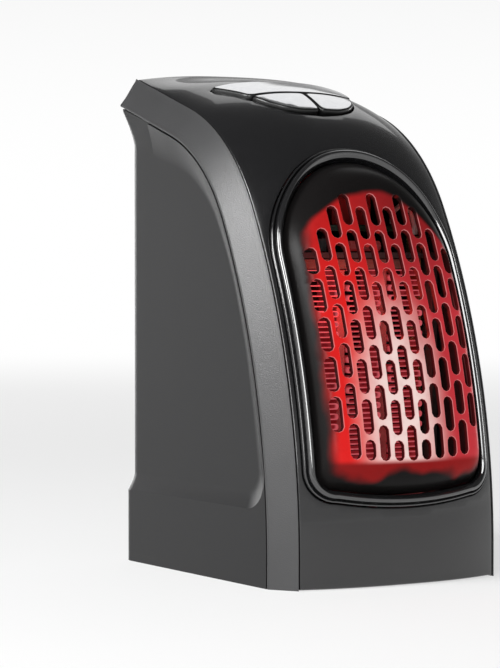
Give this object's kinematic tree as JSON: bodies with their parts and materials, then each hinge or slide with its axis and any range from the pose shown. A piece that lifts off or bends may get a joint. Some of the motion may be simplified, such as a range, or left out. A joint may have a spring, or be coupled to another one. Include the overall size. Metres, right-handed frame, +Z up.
{
  "type": "plug-in fan heater",
  "caption": "Compact heater that hangs on its swivelling round-pin plug, with a domed slotted outlet in a gloss front that bends into a sloping top with a display and keys.",
  "frame": {"origin": "centre of the plug's flat face, which rests against the wall socket, 105 mm above the base", "axes": "+Y into the wall, along the pins; +Z up; +X to the right of someone who looks at the front"},
  "size_m": [0.0771, 0.1172, 0.1405],
  "materials": {
    "gloss_black": "high gloss",
    "shell_grey": "fine grain, matt",
    "band_grey": "fine grain, satin",
    "grille_black": "satin, lit red by the element",
    "inner_black": "matt",
    "heat_plastic": "matt, glass-filled",
    "smoked": "high gloss, smoked",
    "board_green": "lacquered board",
    "brass": "plain",
    "nickel": "nickel plated",
    "steel": "zinc plated",
    "aluminium": "plain sheet",
    "ceramic": "matt",
    "capacitor_red": "cast",
    "lead_red": "silicone sleeve",
    "lead_blue": "silicone sleeve",
    "lead_white": "silicone sleeve"
  },
  "bodies": {
    "plug": {"plug_base": "inner_black", "plug_pin_left": "nickel", "plug_pin_right": "nickel", "contact_ring_inner": "brass", "contact_ring_outer": "brass", "plug_retainer": "steel"},
    "housing": {"rear_shell": "shell_grey", "front_frame": "band_grey", "front_fascia": "gloss_black", "outlet_bezel": "gloss_black", "outlet_grille": "grille_black", "housing_screw_lower_left": "steel", "housing_screw_lower_right": "steel", "housing_screw_upper_left": "steel", "housing_screw_upper_right": "steel", "display_window": "smoked", "display_module": "inner_black", "control_board": "board_green", "key_switch_left": "inner_black", "key_switch_right": "inner_black", "board_screw_left": "steel", "board_screw_right": "steel", "fin_strip_1": "aluminium", "fin_strip_2": "aluminium", "fin_strip_3": "aluminium", "fin_strip_4": "aluminium", "ptc_bar_1": "ceramic", "ptc_bar_2": "ceramic", "ptc_bar_3": "ceramic", "terminal_left": "brass", "terminal_right": "brass", "heater_holder_bottom": "heat_plastic", "heater_holder_top": "heat_plastic", "thermal_cutout": "inner_black", "thermal_fuse": "ceramic", "fan_shroud": "inner_black", "motor_can": "steel", "motor_bearing_front": "brass", "motor_bearing_rear": "brass", "motor_screw_left": "steel", "motor_screw_right": "steel", "contact_carrier": "heat_plastic", "contact_brush_inner": "brass", "contact_brush_outer": "brass", "power_board": "board_green", "relay": "inner_black", "capacitor": "capacitor_red", "switch_body": "inner_black", "lead_live": "lead_red", "lead_switched": "lead_red", "lead_neutral": "lead_blue", "lead_heater_left": "lead_white", "lead_heater_right": "lead_white", "lead_motor": "lead_red", "lead_display": "lead_white"},
    "fan": {"motor_rotor": "steel", "fan_impeller": "inner_black"},
    "key_left": {"key_left": "smoked"},
    "key_right": {"key_right": "smoked"},
    "rocker": {"switch_rocker": "inner_black"}
  },
  "joints": [
    {"name": "plug_swivel", "type": "hinge", "parent": "plug", "child": "housing", "pos_m": [0, 0, 0], "axis": [0, 1, 0], "range_deg": [-90, 90]},
    {"name": "fan_spin", "type": "hinge", "parent": "housing", "child": "fan", "pos_m": [0, -0.044, -0.049], "axis": [0, 1, 0], "continuous": true},
    {"name": "key_left_press", "type": "slide", "parent": "housing", "child": "key_left", "axis": [0, 0.4008, -0.9162], "range_m": [0, 0.0005], "stiffness_N_per_m": 500, "springref_m": -0.001},
    {"name": "key_right_press", "type": "slide", "parent": "housing", "child": "key_right", "axis": [0, 0.4008, -0.9162], "range_m": [0, 0.0005], "stiffness_N_per_m": 500, "springref_m": -0.001},
    {"name": "switch_rock", "type": "hinge", "parent": "housing", "child": "rocker", "pos_m": [0.0379, -0.045, -0.094], "axis": [0, 0, 1], "range_deg": [0, 24]}
  ]
}
